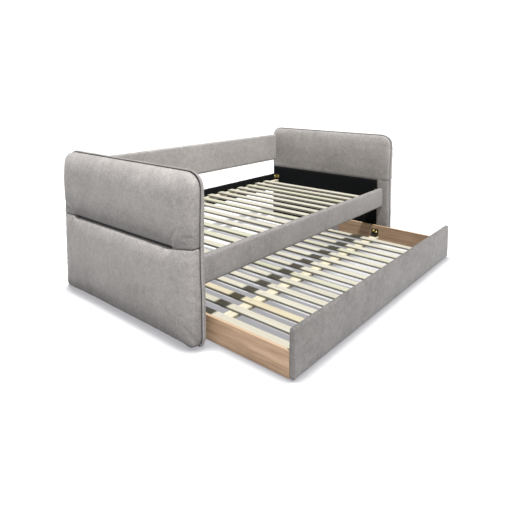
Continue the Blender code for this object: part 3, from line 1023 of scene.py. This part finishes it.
def add_slats(m):
    for deck, body, seed in DECKS:
        for number in SLAT_NUMBERS:
            wood = m["slat"]
            if (deck, number) in WARM_SLATS:
                wood = m["slat_warm"]
            elif (deck, number) in GREEN_SLATS:
                wood = m["slat_green"]
            node = f"{deck}_slat_{number:02d}"
            slat = slat_board(f"{deck}_slat_board_{number:02d}", *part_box(node), seed + number, wood)
            settle(slat, body, "slat_wood", node)


def placement(place, direction):
    """A placement at a point, with its own Z turned to a direction."""
    turn = Vector((0, 0, 1)).rotation_difference(Vector(direction)).to_matrix().to_4x4()
    return Matrix.Translation(Vector(place)) @ turn


def add_disc(shape, radius, top_radius, depth, sides, matrix):
    """A capped disc or cone of that many sides."""
    bmesh.ops.create_cone(
        shape, cap_ends=True, segments=sides, radius1=radius, radius2=top_radius, depth=depth, matrix=matrix
    )


def add_slat_screws(m):
    """A screw at each end of every slat, and one in the middle of each trundle slat."""
    beam_low, beam_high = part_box("trundle_beam")
    for deck, body, _ in DECKS:
        shape = bmesh.new()
        for number in SLAT_NUMBERS:
            low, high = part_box(f"{deck}_slat_{number:02d}")
            rows = [low.y + SCREW_INSET, high.y - SCREW_INSET]
            if deck == "trundle":
                rows.append((beam_low.y + beam_high.y) / 2)
            for y in rows:
                where = placement(((low.x + high.x) / 2, y, high.z + 0.0002), (0, 0, 1))
                add_disc(shape, SCREW_RADIUS, SCREW_RADIUS * 0.82, SCREW_RADIUS * 0.25, 16, where)
        screws = add_mesh(f"{deck}_slat_screws", shape, [m["steel"]], smooth=False)
        settle(screws, body, "bracket_steel")


# ---- trundle
def add_trundle(m):
    low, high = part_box("trundle_front_panel")
    # The trundle front uses the fabric copy that is painted darker, as painted shade.
    front = covered_board("trundle_front_cover", low, high, 0.008, 0.004, 21.0, m["fabric_painted_dark"], ends=True)
    settle(front, "trundle", "fabric", "trundle_front_panel", fill=0.4)
    for label, face in (("left", "oak_side"), ("right", "oak_side"), ("back", "oak_back")):
        node = f"trundle_{label}_board"
        board = laminate_board(f"trundle_{label}_side", *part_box(node), m[face], m["oak_edge"])
        settle(board, "trundle", "oak_laminate", node)
    for node in ("trundle_front_ledge", "trundle_back_ledge", "trundle_beam"):
        add_timber(f"{node}_timber", *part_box(node), "trundle", m, node)


def laminate_board(name, low, high, face, edge):
    """A laminated board whose narrow edges carry a paler band."""
    shape = eased_box(low, high, 0.0012)
    thin = 0 if high.x - low.x < high.y - low.y else 1
    for side in shape.faces:
        side.material_index = 0 if abs(side.normal[thin]) > 0.9 else 1
    return add_mesh(name, shape, [face, edge], smooth=False)


# ---- small hardware
PLATE = 0.0025
BEAM_BRACKET_WIDTH = 0.056
BEAM_BRACKET_HEIGHT = 0.042
BEAM_BRACKET_REACH = 0.030  # of its foot, from the side board
BEAM_BRACKET_RISE = 0.0145  # of its foot, above the beam
BEAM_BOLT_RADIUS = 0.0075
BEAM_BOLTS = ((0.012, 0.027), (-0.010, 0.018))  # behind the bracket's middle, and above its foot
CORNER_BRACKET_HEIGHT = 0.036
CORNER_BRACKET_REACH = 0.034
CORNER_BOLT_RADIUS = 0.0055


def add_bracket(name, corner, wings, material, body):
    """An angle bracket in one piece: two plates, each from the same corner to its own far one."""
    whole = bmesh.new()
    for wing in wings:
        plate = eased_box(tuple(map(min, corner, wing)), tuple(map(max, corner, wing)), 0.0008, 1)
        part = bpy.data.meshes.new("part")
        plate.to_mesh(part)
        plate.free()
        whole.from_mesh(part)
        bpy.data.meshes.remove(part)
    settle(add_mesh(name, whole, [material], smooth=False), body, "bracket_steel")


def add_bolts(name, places, radius, body, m):
    """Domed bolt heads on their washers. Each place is (point, direction)."""
    shape = bmesh.new()
    for place, direction in places:
        where = placement(place, direction)
        washer = where @ Matrix.Translation((0, 0, 0.0005))
        add_disc(shape, radius * 1.4, radius * 1.4, 0.001, 20, washer)
        dome = where @ Matrix.Translation((0, 0, 0.001)) @ Matrix.Diagonal((1, 1, 0.55, 1))
        bmesh.ops.create_uvsphere(shape, u_segments=16, v_segments=8, radius=radius, matrix=dome)
    settle(add_mesh(name, shape, [m["brass"]]), body, "bracket_steel")


def add_beam_brackets(m):
    """A black angle bracket at each end of the beam, with two brass bolts into the side board."""
    _, beam_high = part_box("trundle_beam")
    for label, side in SIDES:
        board_low, board_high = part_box(f"trundle_{label}_board")
        face = board_low.x if side > 0 else board_high.x
        inner = face - side * PLATE
        back = beam_high.y + 0.001
        front = back - BEAM_BRACKET_WIDTH
        base = beam_high.z + BEAM_BRACKET_RISE
        upright = (inner, back, base + BEAM_BRACKET_HEIGHT)
        foot = (face - side * BEAM_BRACKET_REACH, back, base + PLATE)
        name = f"beam_bracket_{label}"
        add_bracket(name, (face, front, base), (upright, foot), m["black_metal"], "trundle")
        middle = back - BEAM_BRACKET_WIDTH / 2
        places = [((inner, middle + behind, base + up), (-side, 0, 0)) for behind, up in BEAM_BOLTS]
        add_bolts(f"beam_bracket_bolts_{label}", places, BEAM_BOLT_RADIUS, "trundle", m)


def add_corner_brackets(m):
    """An angle bracket in each corner where a lower rail meets an arm, just above the slats."""
    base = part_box("upper_slat_01")[1].z + 0.001
    top = base + CORNER_BRACKET_HEIGHT
    reach = CORNER_BRACKET_REACH
    rail_low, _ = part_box("lower_back_rail")
    _, front_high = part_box("front_rail")
    rails = (("back", rail_low.y + UPPER_LEDGE, -1), ("front", front_high.y - UPPER_LEDGE, 1))
    for label, side in SIDES:
        lining_low, lining_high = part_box(f"arm_{label}_lining")
        face = lining_low.x if side > 0 else lining_high.x
        face -= side * 0.0008
        inner = face - side * PLATE
        for end, rail_face, towards in rails:
            rail_face += towards * 0.002
            near = rail_face + towards * PLATE
            on_arm = (inner, rail_face + towards * reach, top)
            on_rail = (face - side * reach, near, top)
            name = f"corner_bracket_{label}_{end}"
            add_bracket(name, (face, rail_face, base), (on_arm, on_rail), m["olive_metal"], "bed")
            middle = base + CORNER_BRACKET_HEIGHT / 2
            places = [
                ((inner, rail_face + towards * reach * 0.6, middle), (-side, 0, 0)),
                ((face - side * reach * 0.6, near, middle), (0, towards, 0)),
            ]
            add_bolts(f"{name}_bolts", places, CORNER_BOLT_RADIUS, "bed", m)


# ---- glides and casters
# Half of each section, as shares of the radius and of the height: a glide's from the middle of its
# top to the middle of its foot, and a wheel's from its bore to the groove round its tread.
GLIDE_HALF = (
    (0.0, 1.0), (0.80, 1.0), (0.84, 0.62), (0.98, 0.55), (1.0, 0.45),
    (1.0, 0.30), (0.94, 0.12), (0.80, 0.0), (0.0, 0.0),
)
HUB_SHARE = 0.72  # of the wheel's radius, inside its grey tread
WHEEL_HALF = (
    (0.235, 0.98), (0.40, 0.98), (0.44, 0.62), (HUB_SHARE - 0.04, 0.62), (HUB_SHARE, 0.92),
    (0.90, 0.92), (0.97, 0.78), (1.0, 0.50), (1.0, 0.14), (0.97, 0.08),
)


def lathe(name, profile, steps, materials):
    """A solid turned about Z from (radius, height) points, closed on the axis or on itself."""
    shape = bmesh.new()
    verts = [shape.verts.new((radius, 0.0, height)) for radius, height in profile]
    for first, second in zip(verts, verts[1:]):
        shape.edges.new((first, second))
    geometry = shape.verts[:] + shape.edges[:]
    turn = {"cent": (0, 0, 0), "axis": (0, 0, 1), "angle": 2 * math.pi, "steps": steps}
    bmesh.ops.spin(shape, geom=geometry, use_merge=True, **turn)
    bmesh.ops.remove_doubles(shape, verts=shape.verts, dist=1e-6)
    bmesh.ops.recalc_face_normals(shape, faces=shape.faces)
    return add_mesh(name, shape, materials, smooth=False)


def add_glides(m):
    """A plastic foot with a stepped collar under each end of each arm."""
    for label, end in CORNERS:
        node = f"arm_{label}_{end}_glide"
        low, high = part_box(node)
        radius, height = (high.x - low.x) / 2, high.z - low.z
        profile = [(radius * across, height * up) for across, up in GLIDE_HALF]
        foot = lathe(f"{node}_foot", profile, 40, [m["glide"]])
        middle = (low + high) / 2
        foot.data.transform(Matrix.Translation((middle.x, middle.y, low.z)))
        settle(foot, "bed", "glide_plastic", node)


def add_casters(m):
    """Nylon wheels with a recessed hub and a grooved tread. The steel brackets keep their CAD shape."""
    for label, end in CORNERS:
        bracket = NODES[f"caster_{label}_{end}_bracket"].data
        bracket.materials.clear()
        bracket.materials.append(m["steel"])

        node = f"caster_{label}_{end}_wheel"
        low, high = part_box(node)
        radius = (high.z - low.z) / 2
        half = [(radius * across, (high.x - low.x) / 2 * up) for across, up in WHEEL_HALF]
        profile = half + [(across, -up) for across, up in reversed(half)] + half[:1]
        wheel = lathe(f"{node}_tyre", profile, 48, [m["nylon"], m["tread"]])
        for face in wheel.data.polygons:
            face.material_index = int(face.center.xy.length > radius * HUB_SHARE)
        upright = Matrix.Rotation(math.pi / 2, 4, "Y")
        wheel.data.transform(Matrix.Translation((low + high) / 2) @ upright)
        settle(wheel, f"wheel_{label}_{end}", "wheel_nylon", node)


# ---- the whole scene
def main():
    m = make_materials()
    add_camera()
    add_floor()
    add_lighting()
    add_arms(m)
    add_rails(m)
    add_slats(m)
    add_slat_screws(m)
    add_trundle(m)
    add_beam_brackets(m)
    add_corner_brackets(m)
    add_glides(m)
    add_casters(m)


main()
